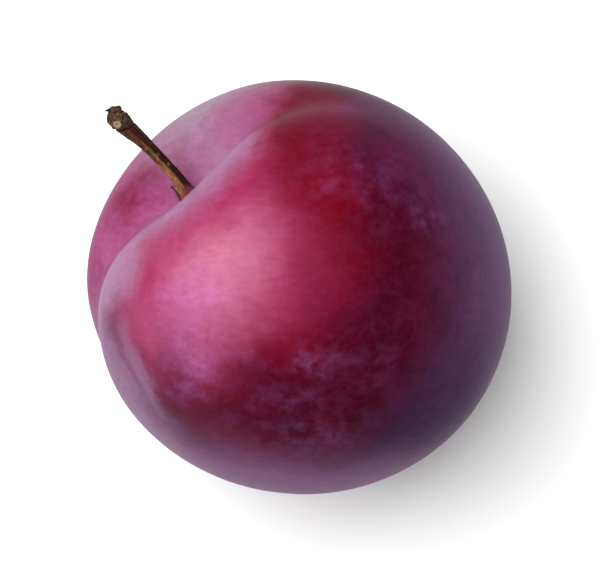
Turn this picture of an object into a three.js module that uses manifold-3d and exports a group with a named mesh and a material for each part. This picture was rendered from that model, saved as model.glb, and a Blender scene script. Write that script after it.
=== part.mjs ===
/**
 * A ripe dessert plum with its stalk, lying on one cheek as it comes to rest on a table.
 *
 * Millimetres, +Z up. The origin is the middle of the small flat that the fruit rests on.
 * The group holds two closed bodies: the fruit, which grew as one piece, and its stalk.
 */
import * as THREE from 'three';
import { mergeVertices } from 'three/addons/utils/BufferGeometryUtils.js';
import Module from 'manifold-3d';

// ---- the fruit, in a frame of its own: stalk end +Z, suture side +X, cheeks +Y and -Y ----
const SUTURE_RADIUS = 27.5; // from the middle to the suture side, with the groove filled in
const CHEEK_RADIUS = 28.0; // to either cheek
const STALK_END = 28.4; // to the stalk end, with the hollow filled in
const BLOSSOM_END = 29.0; // to the end away from the stalk
const LEAN_TO_STALK = 0.044; // the +Y cheek is this share fuller towards the stalk end
const LEAN_TO_SUTURE = -0.046; // and this share slimmer towards the suture

const HOLLOW_DEPTH = 8.0; // the hollow that the stalk grows out of
const HOLLOW_REACH_X = 10.5; // how far it spreads towards the suture and the back
const HOLLOW_REACH_Y = 8.5; // how far it spreads towards the cheeks
const HOLLOW_SHIFT_X = -1.5; // its middle lies a little to the back of the axis
const HOLLOW_SHIFT_Y = 0.2; // and a little towards the +Y cheek

const GROOVE_DEPTH = 2.9; // the suture groove, where it leaves the hollow
const GROOVE_HALF_WIDTH = 4.0;
const BACK_VALLEY_DEPTH = 3.5; // the valley that parts the shoulders on the far side
const BACK_VALLEY_REACH = THREE.MathUtils.degToRad(42); // it fades out this far from the axis
const VALLEY_START = THREE.MathUtils.degToRad(15.3); // both begin this far from the axis

const DIMPLE_DEPTH = 0.7; // the blossom end's dimple
const DIMPLE_REACH = 2.8;

const MERIDIANS = 96; // facets round the fruit
const PARALLELS = 44; // facets from the stalk end to the blossom end
const CROWD_TO_FURROWS = 0.2; // the meridians crowd to the groove and the valley
const CROWD_TO_STALK = 0.35; // the parallels crowd to the stalk end

// ---- how the fruit lies: degrees, the bearing counted from +X towards +Y ----
const FRUIT_BEARING = 141.5; // where its stalk end points
const FRUIT_RISE = 26.6; // how far its axis climbs from the table
const FRUIT_SPIN = 74.8; // how far it is rolled about its own axis
const MIDDLE = new THREE.Vector3(-0.6, 1.1, 28.2); // where the fruit's middle comes to lie

// ---- the stalk, in a frame of its own: foot at the hollow's floor, +Z along the stalk ----
const STALK_BEARING = 131.8;
const STALK_RISE = 26;
const STALK_SPIN = 90; // turns +X to the stalk's left side and +Y to its upper side
const STALK_STATIONS = [
  { along: -1.0, left: 0.5, up: 0, width: 2.65 }, // foot, sunk into the fruit
  { along: 0.3, left: 0.47, up: 0, width: 2.5 },
  { along: 1.8, left: 0.24, up: 0.12, width: 1.95 },
  { along: 3.3, left: 0.07, up: 0.25, width: 1.6 },
  { along: 6.6, left: 0.1, up: 0.4, width: 1.55 }, // slimmest stretch
  { along: 10.0, left: 0.26, up: 0.4, width: 1.75 },
  { along: 12.6, left: 0.54, up: 0.3, width: 2.2 },
  { along: 13.8, left: 0.62, up: 0.2, width: 2.5 }, // neck under the knob
  { along: 14.5, left: 0.66, up: 0.15, width: 2.65 },
  { along: 15.3, left: 0.62, up: 0.1, width: 2.3 },
  { along: 16.0, left: 0.48, up: 0.1, width: 1.45 },
  { along: 16.5, left: 0.48, up: 0.1, width: 0.7 }, // broken end
];
const STALK_SIDES = 20;
const ROWS_PER_STATION = 4;
const RIB_COUNT = 5; // low ribs run up the stalk
const RIB_RELIEF = 0.06; // share of the radius
const RIB_TWIST = THREE.MathUtils.degToRad(70); // from foot to end

const GAP = 0.3; // clearance between the stalk's foot and its socket
const SOCKET_HEADROOM = 3; // the socket's cutter reaches this far above the hollow's floor

// Pointed scales left on the knob and a sliver of bark torn up at the foot. "around" is in
// degrees from the stalk's left side towards its upper side; "lean" is away from the stalk.
const SCALES = [
  { along: 15.4, out: -0.7, around: 10, lean: 37, length: 2.1, width: 1.5 },
  { along: 13.9, out: 0.95, around: 165, lean: 21, length: 1.15, width: 0.8 },
  { along: 13.1, out: 0.9, around: 190, lean: 20, length: 1.1, width: 0.7 },
  { along: 14.9, out: 0.6, around: 285, lean: 24, length: 1.3, width: 1.0 },
  { along: 0.4, out: 1.05, around: 15, lean: -8, length: 2.8, width: 0.7 },
];
const SCALE_THINNESS = 0.45; // thickness over width
const SCALE_SIDES = 6;

const SCAR = { along: 14.35, out: 1.08, around: 58, radius: 0.58, thickness: 0.6 };

const { degToRad } = THREE.MathUtils;

/** The turn that points a body's +Z along a bearing and a rise, after a spin about itself. */
function turn(bearing, rise, spin) {
  const turned = new THREE.Matrix4().makeRotationZ(degToRad(bearing));
  turned.multiply(new THREE.Matrix4().makeRotationY(degToRad(90 - rise)));
  return turned.multiply(new THREE.Matrix4().makeRotationZ(degToRad(spin)));
}

/** Moves every vertex of a geometry to the place that a function returns for it. */
function reshape(geometry, place) {
  const positions = geometry.attributes.position;
  const point = new THREE.Vector3();
  for (let i = 0; i < positions.count; i += 1) {
    place(point.fromBufferAttribute(positions, i));
    positions.setXYZ(i, point.x, point.y, point.z);
  }
  return geometry;
}

/** Distance from the fruit's middle to its skin along a unit direction. */
function skinDistance({ x, y, z }) {
  const end = z > 0 ? STALK_END : BLOSSOM_END;
  const oval = 1 / Math.hypot(x / SUTURE_RADIUS, y / CHEEK_RADIUS, z / end);
  const body = oval * (1 + LEAN_TO_STALK * y * z + LEAN_TO_SUTURE * x * y);

  const hollowX = (x * SUTURE_RADIUS - HOLLOW_SHIFT_X) / HOLLOW_REACH_X;
  const hollowY = (y * SUTURE_RADIUS - HOLLOW_SHIFT_Y) / HOLLOW_REACH_Y;
  const hollow = z > 0 ? HOLLOW_DEPTH * Math.exp(-(hollowX ** 2) - hollowY ** 2) : 0;

  const round = Math.atan2(x, z); // angle from the stalk end, positive on the suture side
  const suture = Math.max(round, 0) / Math.PI;
  const groove = GROOVE_DEPTH * (1 - suture) * Math.cos((suture * Math.PI) / 2);
  const valley = BACK_VALLEY_DEPTH * Math.exp(-((round / BACK_VALLEY_REACH) ** 2));
  const start = 1 - Math.exp(-((round / VALLEY_START) ** 2));
  const across = Math.exp(-(((y * SUTURE_RADIUS) / GROOVE_HALF_WIDTH) ** 2));
  const furrow = (round > 0 ? groove : valley) * start * across;

  const aside = (Math.hypot(x, y) * BLOSSOM_END) / DIMPLE_REACH;
  const dimple = z < 0 ? DIMPLE_DEPTH * Math.exp(-(aside ** 2)) : 0;
  return body - hollow - furrow - dimple;
}

/** The whole fruit about its own middle. */
function fruitShape() {
  const sphere = new THREE.SphereGeometry(1, MERIDIANS, PARALLELS).rotateX(Math.PI / 2);
  return reshape(sphere, (point) => {
    const polar = Math.acos(THREE.MathUtils.clamp(point.z, -1, 1));
    const round = Math.atan2(point.y, point.x);
    const crowdedPolar = polar - CROWD_TO_STALK * Math.sin(polar);
    const crowdedRound = round - CROWD_TO_FURROWS * Math.sin(2 * round);
    const level = Math.sin(crowdedPolar);
    point.set(level * Math.cos(crowdedRound), level * Math.sin(crowdedRound), Math.cos(crowdedPolar));
    point.multiplyScalar(skinDistance(point));
  });
}

/** The stalk's shaft and knob: a cylinder led through the stations, with ribs up its side. */
function shaftShape() {
  const rows = ROWS_PER_STATION * (STALK_STATIONS.length - 1);
  const line = new THREE.CatmullRomCurve3(
    STALK_STATIONS.map(({ left, up, along }) => new THREE.Vector3(left, up, along)),
  );
  const widths = new THREE.SplineCurve(
    STALK_STATIONS.map(({ width, along }) => new THREE.Vector2(width, along)),
  );
  const cylinder = new THREE.CylinderGeometry(1, 1, 1, STALK_SIDES, rows).rotateX(Math.PI / 2);
  return reshape(cylinder, (point) => {
    const share = point.z + 0.5;
    const around = Math.atan2(point.y, point.x) - RIB_TWIST * share;
    const rib = 1 + RIB_RELIEF * Math.cos(RIB_COUNT * around);
    const radius = (widths.getPoint(share).x / 2) * rib;
    const middle = line.getPoint(share);
    point.set(middle.x + point.x * radius, middle.y + point.y * radius, middle.z);
  });
}

/** Where the stalk's centre line is at a height, read between the two stations round it. */
function stalkMiddle(along) {
  const above = STALK_STATIONS.findIndex((station) => station.along > along);
  const [low, high] = [STALK_STATIONS[above - 1], STALK_STATIONS[above]];
  const share = (along - low.along) / (high.along - low.along);
  const left = THREE.MathUtils.lerp(low.left, high.left, share);
  return new THREE.Vector3(left, THREE.MathUtils.lerp(low.up, high.up, share), along);
}

/** Sets a shape on the stalk's side: its +Z lies up the stalk, its +X points outwards. */
function setOnStalk(geometry, { along, out, around }) {
  const { x, y, z } = stalkMiddle(along);
  return geometry.translate(out, 0, 0).rotateZ(degToRad(around)).translate(x, y, z);
}

/** One pointed scale, rooted inside the stalk. */
function scaleShape(scale) {
  const cone = new THREE.ConeGeometry(scale.width / 2, scale.length, SCALE_SIDES);
  cone.rotateX(Math.PI / 2).translate(0, 0, scale.length / 2).scale(SCALE_THINNESS, 1, 1);
  return setOnStalk(cone.rotateY(degToRad(scale.lean)), scale);
}

/** The round leaf scar that bulges from the knob. */
function scarShape() {
  const lens = new THREE.SphereGeometry(SCAR.radius, 12, 8);
  return setOnStalk(lens.scale(SCAR.thickness, 1, 1), SCAR);
}

/** The hole in the hollow's floor that the stalk's foot stands in, in the stalk's frame. */
function socketShape() {
  const foot = STALK_STATIONS[0];
  const radius = (foot.width / 2) * (1 + RIB_RELIEF) + GAP;
  const bottom = foot.along - GAP;
  const cutter = new THREE.CylinderGeometry(radius, radius, SOCKET_HEADROOM - bottom, 24);
  return cutter.rotateX(Math.PI / 2).translate(foot.left, foot.up, (SOCKET_HEADROOM + bottom) / 2);
}

/** Everything below the table's top, for trimming the flat that the fruit rests on. */
function tableShape() {
  const side = 4 * CHEEK_RADIUS;
  return new THREE.BoxGeometry(side, side, CHEEK_RADIUS).translate(0, 0, -CHEEK_RADIUS / 2);
}

const wasm = await Module();
wasm.setup();

/** A closed solid from a geometry whose faces meet edge to edge. */
function solidOf(geometry) {
  const bare = geometry.clone();
  bare.deleteAttribute('normal');
  bare.deleteAttribute('uv');
  const merged = mergeVertices(bare, 1e-4);
  const vertProperties = new Float32Array(merged.attributes.position.array);
  const triVerts = new Uint32Array(merged.index.array);
  return new wasm.Manifold(new wasm.Mesh({ numProp: 3, vertProperties, triVerts }));
}

/** A three.js geometry from a solid. */
function geometryOf(solid) {
  const { vertProperties, triVerts } = solid.getMesh();
  const geometry = new THREE.BufferGeometry();
  geometry.setAttribute('position', new THREE.BufferAttribute(vertProperties, 3));
  geometry.setIndex(new THREE.BufferAttribute(triVerts, 1));
  geometry.computeVertexNormals();
  return geometry;
}

const fruitTurn = turn(FRUIT_BEARING, FRUIT_RISE, FRUIT_SPIN);
const stalkTurn = turn(STALK_BEARING, STALK_RISE, STALK_SPIN);
const hollowFloor = new THREE.Vector3(HOLLOW_SHIFT_X, HOLLOW_SHIFT_Y, SUTURE_RADIUS);
hollowFloor.multiplyScalar((STALK_END - HOLLOW_DEPTH) / SUTURE_RADIUS);
const stalkFoot = hollowFloor.applyMatrix4(fruitTurn).add(MIDDLE);

/** The fruit as it lies, trimmed flat where it rests and holed where the stalk stands. */
function makeFruit() {
  const laid = fruitShape().applyMatrix4(fruitTurn.clone().setPosition(MIDDLE));
  const socket = socketShape().applyMatrix4(stalkTurn.clone().setPosition(stalkFoot));
  const solid = solidOf(laid).subtract(solidOf(tableShape())).subtract(solidOf(socket));
  const skin = new THREE.MeshStandardMaterial({ color: 0x7a2344, roughness: 0.42, metalness: 0 });
  const mesh = new THREE.Mesh(geometryOf(solid), skin);
  mesh.name = 'fruit';
  return mesh;
}

/** The stalk as it stands in the hollow, with its scales, torn sliver and scar grown on. */
function makeStalk() {
  let solid = solidOf(shaftShape()).add(solidOf(scarShape()));
  for (const scale of SCALES) solid = solid.add(solidOf(scaleShape(scale)));
  const bark = new THREE.MeshStandardMaterial({ color: 0x6a4128, roughness: 0.8, metalness: 0 });
  const mesh = new THREE.Mesh(geometryOf(solid), bark);
  mesh.name = 'stem';
  mesh.position.copy(stalkFoot);
  mesh.quaternion.setFromRotationMatrix(stalkTurn);
  return mesh;
}

const plum = new THREE.Group();
plum.name = 'plum';
plum.add(makeFruit(), makeStalk());

export default plum;
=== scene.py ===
"""A ripe dessert plum with its stalk, lying on its cheek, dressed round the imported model.

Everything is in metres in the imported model's frame: +Z is up and the origin is the middle
of the small flat that the fruit rests on.
"""
import math

import bpy
from bpy.props import FloatProperty, FloatVectorProperty, IntProperty, PointerProperty
from bpy.types import Operator, Panel, PropertyGroup
from mathutils import Matrix, Vector


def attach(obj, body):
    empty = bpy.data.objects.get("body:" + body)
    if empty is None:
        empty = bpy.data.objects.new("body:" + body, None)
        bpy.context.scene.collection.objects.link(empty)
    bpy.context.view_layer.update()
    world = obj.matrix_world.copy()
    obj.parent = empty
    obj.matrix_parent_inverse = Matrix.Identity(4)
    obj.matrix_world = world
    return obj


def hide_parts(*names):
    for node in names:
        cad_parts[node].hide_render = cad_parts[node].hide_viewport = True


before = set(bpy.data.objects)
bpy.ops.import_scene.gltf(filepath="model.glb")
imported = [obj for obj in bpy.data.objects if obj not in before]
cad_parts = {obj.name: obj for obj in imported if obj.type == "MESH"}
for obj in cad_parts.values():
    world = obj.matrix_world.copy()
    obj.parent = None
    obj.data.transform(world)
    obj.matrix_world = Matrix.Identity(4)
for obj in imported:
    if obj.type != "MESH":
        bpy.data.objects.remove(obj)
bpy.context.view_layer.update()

bl_info = {
    "name": "Dessert plum",
    "version": (1, 0, 0),
    "blender": (4, 5, 0),
    "location": "View3D > Sidebar > Plum",
    "description": "Makes a ripe plum with its stalk on a plain floor",
    "category": "Add Mesh",
}

MM = 0.001
BODY = "root"

MATH = "ShaderNodeMath"
VECTOR = "ShaderNodeVectorMath"
MIX = "ShaderNodeMix"
MAP_RANGE = "ShaderNodeMapRange"
NOISE = "ShaderNodeTexNoise"
READ = "GeometryNodeInputNamedAttribute"
STORE = "GeometryNodeStoreNamedAttribute"
VECTOR_DATA = {"data_type": "FLOAT_VECTOR"}
SMOOTH = {"interpolation_type": "SMOOTHSTEP"}
COLOUR = {"subtype": "COLOR", "size": 3, "min": 0, "max": 1}
SHARE = {"subtype": "FACTOR", "min": 0, "max": 1}


def linear(hex_colour):
    """An sRGB colour written as hex digits, as linear red, green and blue."""
    shares = [int(hex_colour[i : i + 2], 16) / 255 for i in (0, 2, 4)]
    return tuple(s / 12.92 if s <= 0.04045 else ((s + 0.055) / 1.055) ** 2.4 for s in shares)


# ------------------------------------------------------------------ settings


class FruitShape(PropertyGroup):
    """Sizes of the fruit in a frame of its own: stalk end +Z, suture side +X, cheeks +Y and -Y"""

    meridians: IntProperty(name="Meridians", description="Faces round the fruit", default=360)
    parallels: IntProperty(
        name="Parallels", description="Faces from the stalk end to the blossom end", default=180
    )
    crowd_to_furrows: FloatProperty(
        name="Crowd to furrows",
        description="How strongly the faces crowd to the groove and the valley",
        default=0.2,
    )
    crowd_to_stalk: FloatProperty(
        name="Crowd to stalk",
        description="How strongly the faces crowd to the stalk end",
        default=0.35,
    )
    suture_radius: FloatProperty(
        name="Suture radius",
        description="From the middle to the suture side, with the groove filled in",
        default=27.5 * MM,
        unit="LENGTH",
    )
    cheek_radius: FloatProperty(
        name="Cheek radius",
        description="From the middle to either cheek",
        default=28.0 * MM,
        unit="LENGTH",
    )
    stalk_end: FloatProperty(
        name="Stalk end",
        description="From the middle to the stalk end, with the hollow filled in",
        default=28.4 * MM,
        unit="LENGTH",
    )
    blossom_end: FloatProperty(
        name="Blossom end",
        description="From the middle to the end away from the stalk",
        default=29.0 * MM,
        unit="LENGTH",
    )
    lean_to_stalk: FloatProperty(
        name="Lean to stalk",
        description="Share by which the +Y cheek is fuller towards the stalk end",
        default=0.044,
    )
    lean_to_suture: FloatProperty(
        name="Lean to suture",
        description="Share by which the +Y cheek is fuller towards the suture",
        default=-0.046,
    )
    hollow_depth: FloatProperty(
        name="Hollow depth",
        description="Depth of the hollow that the stalk grows out of",
        default=8.0 * MM,
        unit="LENGTH",
    )
    hollow_reach_x: FloatProperty(
        name="Hollow reach X",
        description="How far the hollow spreads towards the suture and the back",
        default=10.5 * MM,
        unit="LENGTH",
    )
    hollow_reach_y: FloatProperty(
        name="Hollow reach Y",
        description="How far the hollow spreads towards the cheeks",
        default=8.5 * MM,
        unit="LENGTH",
    )
    hollow_shift_x: FloatProperty(
        name="Hollow shift X",
        description="How far the hollow's middle lies off the axis towards the suture",
        default=-1.5 * MM,
        unit="LENGTH",
    )
    hollow_shift_y: FloatProperty(
        name="Hollow shift Y",
        description="How far the hollow's middle lies off the axis towards the +Y cheek",
        default=0.2 * MM,
        unit="LENGTH",
    )
    groove_depth: FloatProperty(
        name="Groove depth",
        description="Depth of the suture groove where it leaves the hollow",
        default=2.9 * MM,
        unit="LENGTH",
    )
    groove_half_width: FloatProperty(
        name="Groove half width",
        description="Half the width of the groove and the valley",
        default=4.0 * MM,
        unit="LENGTH",
    )
    valley_depth: FloatProperty(
        name="Valley depth",
        description="Depth of the valley that parts the shoulders on the far side",
        default=3.5 * MM,
        unit="LENGTH",
    )
    valley_reach: FloatProperty(
        name="Valley reach",
        description="Angle from the axis at which the valley fades out",
        default=math.radians(42),
        subtype="ANGLE",
    )
    furrow_start: FloatProperty(
        name="Furrow start",
        description="Angle from the axis at which the groove and the valley begin",
        default=math.radians(15.3),
        subtype="ANGLE",
    )
    crease_depth: FloatProperty(
        name="Crease depth",
        description="Depth of the fine crease along the bottom of the groove",
        default=0.12 * MM,
        unit="LENGTH",
    )
    crease_half_width: FloatProperty(
        name="Crease half width",
        description="Half the width of the fine crease",
        default=0.45 * MM,
        unit="LENGTH",
    )
    dimple_depth: FloatProperty(
        name="Dimple depth",
        description="Depth of the dimple at the blossom end",
        default=0.7 * MM,
        unit="LENGTH",
    )
    dimple_reach: FloatProperty(
        name="Dimple reach",
        description="How far the dimple spreads",
        default=2.8 * MM,
        unit="LENGTH",
    )
    style_height: FloatProperty(
        name="Style height",
        description="Height of the dry point left in the dimple by the flower",
        default=0.45 * MM,
        unit="LENGTH",
    )
    style_reach: FloatProperty(
        name="Style reach",
        description="How far the dry point spreads",
        default=0.5 * MM,
        unit="LENGTH",
    )
    waviness: FloatProperty(
        name="Waviness",
        description="Height of the low swells in the skin",
        default=0.16 * MM,
        unit="LENGTH",
    )
    wave_length: FloatProperty(
        name="Wave length",
        description="Distance between the low swells in the skin",
        default=11 * MM,
        unit="LENGTH",
    )
    rest_softness: FloatProperty(
        name="Rest softness",
        description="How gently the skin turns up at the edge of the flat it rests on",
        default=0.3 * MM,
        unit="LENGTH",
    )
    seed: IntProperty(name="Seed", description="Picks the pattern of the swells", default=4)
    bearing: FloatProperty(
        name="Bearing",
        description="Where the stalk end points, from +X towards +Y",
        default=math.radians(141.5),
        subtype="ANGLE",
    )
    rise: FloatProperty(
        name="Rise",
        description="How far the fruit's axis climbs from the floor",
        default=math.radians(26.6),
        subtype="ANGLE",
    )
    spin: FloatProperty(
        name="Spin",
        description="How far the fruit is rolled about its own axis",
        default=math.radians(74.8),
        subtype="ANGLE",
    )
    middle: FloatVectorProperty(
        name="Middle",
        description="Where the fruit's middle lies",
        default=(-0.6 * MM, 1.1 * MM, 28.2 * MM),
        subtype="TRANSLATION",
        unit="LENGTH",
    )


class StalkShape(PropertyGroup):
    """Sizes of the stalk in a frame of its own: foot at the hollow's floor, +Z along it"""

    sides: IntProperty(name="Sides", description="Faces round the stalk", default=72)
    rows: IntProperty(name="Rows", description="Faces from the foot to the end", default=320)
    rib_count: IntProperty(
        name="Rib count", description="Low ribs that run up the stalk", default=5
    )
    rib_relief: FloatProperty(
        name="Rib relief", description="Height of a rib as a share of the radius", default=0.06
    )
    rib_twist: FloatProperty(
        name="Rib twist",
        description="How far the ribs turn in a metre of stalk",
        default=math.radians(70) / (18 * MM),
    )
    grain_relief: FloatProperty(
        name="Grain relief",
        description="Height of the bark's lengthwise wrinkles as a share of the radius",
        default=0.22,
    )
    grain_width: FloatProperty(
        name="Grain width",
        description="Distance between the bark's wrinkles",
        default=0.42 * MM,
        unit="LENGTH",
    )
    grain_stretch: FloatProperty(
        name="Grain stretch",
        description="How many times longer than wide the wrinkles are",
        default=7,
    )
    knob_start: FloatProperty(
        name="Knob start",
        description="Height along the stalk where the knob begins",
        default=13.7 * MM,
        unit="LENGTH",
    )
    knob_relief: FloatProperty(
        name="Knob relief",
        description="Height of the knob's lumps as a share of the radius",
        default=0.9,
    )
    knob_lumps: FloatProperty(
        name="Knob lumps",
        description="Distance between the knob's lumps",
        default=0.65 * MM,
        unit="LENGTH",
    )
    neck_height: FloatProperty(
        name="Neck height",
        description="Height along the stalk of the dark line that rings the neck",
        default=13.3 * MM,
        unit="LENGTH",
    )
    neck_tilt: FloatProperty(
        name="Neck tilt",
        description="Slope of that line: how much it climbs towards the left",
        default=0.42,
    )
    neck_width: FloatProperty(
        name="Neck width",
        description="Half the width of that line",
        default=0.12 * MM,
        unit="LENGTH",
    )
    neck_depth: FloatProperty(
        name="Neck depth", description="Depth of that line as a share of the radius", default=0.16
    )
    scar_place: FloatVectorProperty(
        name="Scar place",
        description="Middle of the round leaf scar on the knob",
        default=(1.15 * MM, 1.2 * MM, 14.65 * MM),
        subtype="TRANSLATION",
        unit="LENGTH",
    )
    scar_radius: FloatProperty(
        name="Scar radius",
        description="Radius of the round leaf scar",
        default=0.55 * MM,
        unit="LENGTH",
    )
    scar_height: FloatProperty(
        name="Scar height",
        description="How far the scar's rim stands out of the knob",
        default=0.16 * MM,
        unit="LENGTH",
    )
    wart_spacing: FloatProperty(
        name="Wart spacing",
        description="Distance between the corky warts on the shaft",
        default=1.9 * MM,
        unit="LENGTH",
    )
    wart_height: FloatProperty(
        name="Wart height",
        description="How far a wart stands out of the bark",
        default=0.07 * MM,
        unit="LENGTH",
    )
    scale_sides: IntProperty(name="Scale sides", description="Faces round a scale", default=16)
    scale_curl: FloatProperty(
        name="Scale curl", description="How far a scale's tip curls outwards", default=0.5
    )
    seed: IntProperty(name="Seed", description="Picks the pattern of the bark", default=7)
    bearing: FloatProperty(
        name="Bearing",
        description="Where the stalk points, from +X towards +Y",
        default=math.radians(131.8),
        subtype="ANGLE",
    )
    rise: FloatProperty(
        name="Rise",
        description="How far the stalk climbs from the floor",
        default=math.radians(26),
        subtype="ANGLE",
    )
    spin: FloatProperty(
        name="Spin",
        description="Turns the stalk's +X to its left side and its +Y to its upper side",
        default=math.radians(90),
        subtype="ANGLE",
    )
    middle: FloatVectorProperty(
        name="Middle",
        description="Where the stalk's foot meets the floor of the hollow",
        default=(0, 0, 0),
        subtype="TRANSLATION",
        unit="LENGTH",
    )


class SkinLook(PropertyGroup):
    """Colours and wax of the fruit's skin"""

    dark_ground: FloatVectorProperty(
        name="Dark ground",
        description="The darker colour of the mottled skin under the areas of pigment",
        default=linear("38000f"),
        **COLOUR,
    )
    light_ground: FloatVectorProperty(
        name="Light ground",
        description="The lighter colour of that mottled skin",
        default=linear("46041b"),
        **COLOUR,
    )
    wax_colour: FloatVectorProperty(
        name="Wax colour",
        description="What a full layer of wax adds to the colour of the skin",
        default=linear("5c3e6c"),
        **COLOUR,
    )
    wax_everywhere: FloatProperty(
        name="Wax everywhere",
        description="How thick the wisps of wax are outside the patches",
        default=0.06,
        **SHARE,
    )
    wax_dust: FloatProperty(
        name="Wax dust",
        description="How thick the fine specks of wax are",
        default=0.07,
        **SHARE,
    )


class BarkLook(PropertyGroup):
    """Colours of the stalk's bark"""

    light_streaks: FloatVectorProperty(
        name="Light streaks",
        description="The lighter colour of the streaked shaft",
        default=linear("ae7a4a"),
        **COLOUR,
    )
    dark_streaks: FloatVectorProperty(
        name="Dark streaks",
        description="The darker colour of the streaked shaft",
        default=linear("50301e"),
        **COLOUR,
    )


class StageLook(PropertyGroup):
    """The floor, the light and the camera"""

    floor_side: FloatProperty(
        name="Floor side", description="Length of the floor's side", default=3.0, unit="LENGTH"
    )
    floor_colour: FloatVectorProperty(
        name="Floor colour",
        description="Colour of the matt floor",
        default=linear("f2f2f2"),
        **COLOUR,
    )
    room_strength: FloatProperty(
        name="Room strength", description="Brightness of the white room", default=0.29
    )
    key_power: FloatProperty(
        name="Key power", description="Power of the large soft light", default=13.8, unit="POWER"
    )
    key_side: FloatProperty(
        name="Key side", description="Length of the light's side", default=0.8, unit="LENGTH"
    )
    key_distance: FloatProperty(
        name="Key distance",
        description="From the fruit to the light",
        default=0.8,
        unit="LENGTH",
    )
    key_bearing: FloatProperty(
        name="Key bearing",
        description="Where the light stands, from +X towards +Y",
        default=math.radians(145),
        subtype="ANGLE",
    )
    key_rise: FloatProperty(
        name="Key rise",
        description="How high the light stands over the floor",
        default=math.radians(66),
        subtype="ANGLE",
    )
    camera_height: FloatProperty(
        name="Camera height",
        description="From the fruit's middle up to the camera",
        default=0.55,
        unit="LENGTH",
    )
    camera_aside: FloatVectorProperty(
        name="Camera aside",
        description="How far the camera stands to the side of the fruit's middle",
        default=(1.245 * MM, -0.383 * MM),
        size=2,
        unit="LENGTH",
    )
    focal_length: FloatProperty(
        name="Focal length", description="The camera's focal length in mm", default=245.97
    )


# ------------------------------------------------------------------ node helpers


def add_node(tree, kind, *values, named=None, **settings):
    """Adds a node, makes its settings, and gives its inputs values or links, by place or name."""
    node = tree.nodes.new(kind)
    for setting, value in settings.items():
        setattr(node, setting, value)
    shown = [socket for socket in node.inputs if socket.enabled]
    given = list(zip(shown, values))
    given += [(node.inputs[name], value) for name, value in (named or {}).items()]
    for socket, value in given:
        if isinstance(value, bpy.types.Node):
            value = next(output for output in value.outputs if output.enabled)
        if isinstance(value, bpy.types.NodeSocket):
            tree.links.new(value, socket)
        elif value is not None:
            socket.default_value = value
    return node


def start_tree(name, settings, geometry_in):
    """A geometry tree with a named input for each property of a settings group."""
    tree = bpy.data.node_groups.new(name, "GeometryNodeTree")
    tree.interface.new_socket("Geometry", in_out="OUTPUT", socket_type="NodeSocketGeometry")
    if geometry_in:
        tree.interface.new_socket("Geometry", in_out="INPUT", socket_type="NodeSocketGeometry")
    for prop in own_properties(settings):
        kind = "NodeSocketInt" if prop.type == "INT" else "NodeSocketFloat"
        if getattr(prop, "is_array", False):
            kind = "NodeSocketVector"
        tree.interface.new_socket(prop.name, in_out="INPUT", socket_type=kind)
    tree.interface.new_socket("Material", in_out="INPUT", socket_type="NodeSocketMaterial")
    inputs = add_node(tree, "NodeGroupInput").outputs
    return tree, inputs


def start_material(name):
    """A new material, its node tree and its shader."""
    material = bpy.data.materials.new(name)
    material.use_nodes = True
    tree = material.node_tree
    return material, tree, tree.nodes["Principled BSDF"]


def own_properties(settings):
    """The properties that a settings group declares itself."""
    skipped = {"rna_type", "name"}
    return [p for p in settings.bl_rna.properties if p.identifier not in skipped]


def end_tree(tree, geometry, material):
    """Ends a geometry tree: instances made real, shaded smooth, and given their material."""
    real = add_node(tree, "GeometryNodeRealizeInstances", geometry)
    smooth = add_node(tree, "GeometryNodeSetShadeSmooth", real)
    painted = add_node(tree, "GeometryNodeSetMaterial", smooth, None, material)
    add_node(tree, "NodeGroupOutput", painted)


def grow(name, mesh, tree, settings, material):
    """Runs a geometry tree on a mesh and keeps the result as a plain mesh object."""
    seed_object = bpy.data.objects.new(name + "_seed", mesh)
    bpy.context.scene.collection.objects.link(seed_object)
    modifier = seed_object.modifiers.new(name, "NODES")
    modifier.node_group = tree
    sockets = {s.name: s.identifier for s in tree.interface.items_tree if s.in_out == "INPUT"}
    for prop in own_properties(settings):
        value = getattr(settings, prop.identifier)
        modifier[sockets[prop.name]] = list(value) if hasattr(value, "__len__") else value
    modifier[sockets["Material"]] = material
    seen = bpy.context.evaluated_depsgraph_get()
    grown = bpy.data.meshes.new_from_object(seed_object.evaluated_get(seen))
    grown.name = name
    seed_object.modifiers.remove(modifier)
    bpy.data.objects.remove(seed_object)
    piece = bpy.data.objects.new(name, grown)
    bpy.context.scene.collection.objects.link(piece)
    return piece


def lay_down(tree, vector, inputs):
    """Points a vector's own +Z along a bearing and a rise, after a spin about itself."""
    turn = "ShaderNodeVectorRotate"
    tip = add_node(tree, MATH, math.pi / 2, inputs["Rise"], operation="SUBTRACT")
    spun = add_node(
        tree, turn, vector, named={"Angle": inputs["Spin"]}, rotation_type="Z_AXIS"
    )
    tipped = add_node(tree, turn, spun, named={"Angle": tip}, rotation_type="Y_AXIS")
    return add_node(
        tree, turn, tipped, named={"Angle": inputs["Bearing"]}, rotation_type="Z_AXIS"
    )


def laid(settings):
    """The same turn as a matrix."""
    turned = Matrix.Rotation(settings.bearing, 3, "Z")
    turned = turned @ Matrix.Rotation(math.pi / 2 - settings.rise, 3, "Y")
    return turned @ Matrix.Rotation(settings.spin, 3, "Z")


def falloff(tree, distance, reach):
    """exp(-(distance / reach)^2): 1 at no distance, fading to 0 past the reach."""
    share = add_node(tree, MATH, distance, reach, operation="DIVIDE")
    square = add_node(tree, MATH, share, share, operation="MULTIPLY")
    minus = add_node(tree, MATH, square, -1.0, operation="MULTIPLY")
    return add_node(tree, MATH, minus, operation="EXPONENT")


# ------------------------------------------------------------------ fruit


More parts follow.
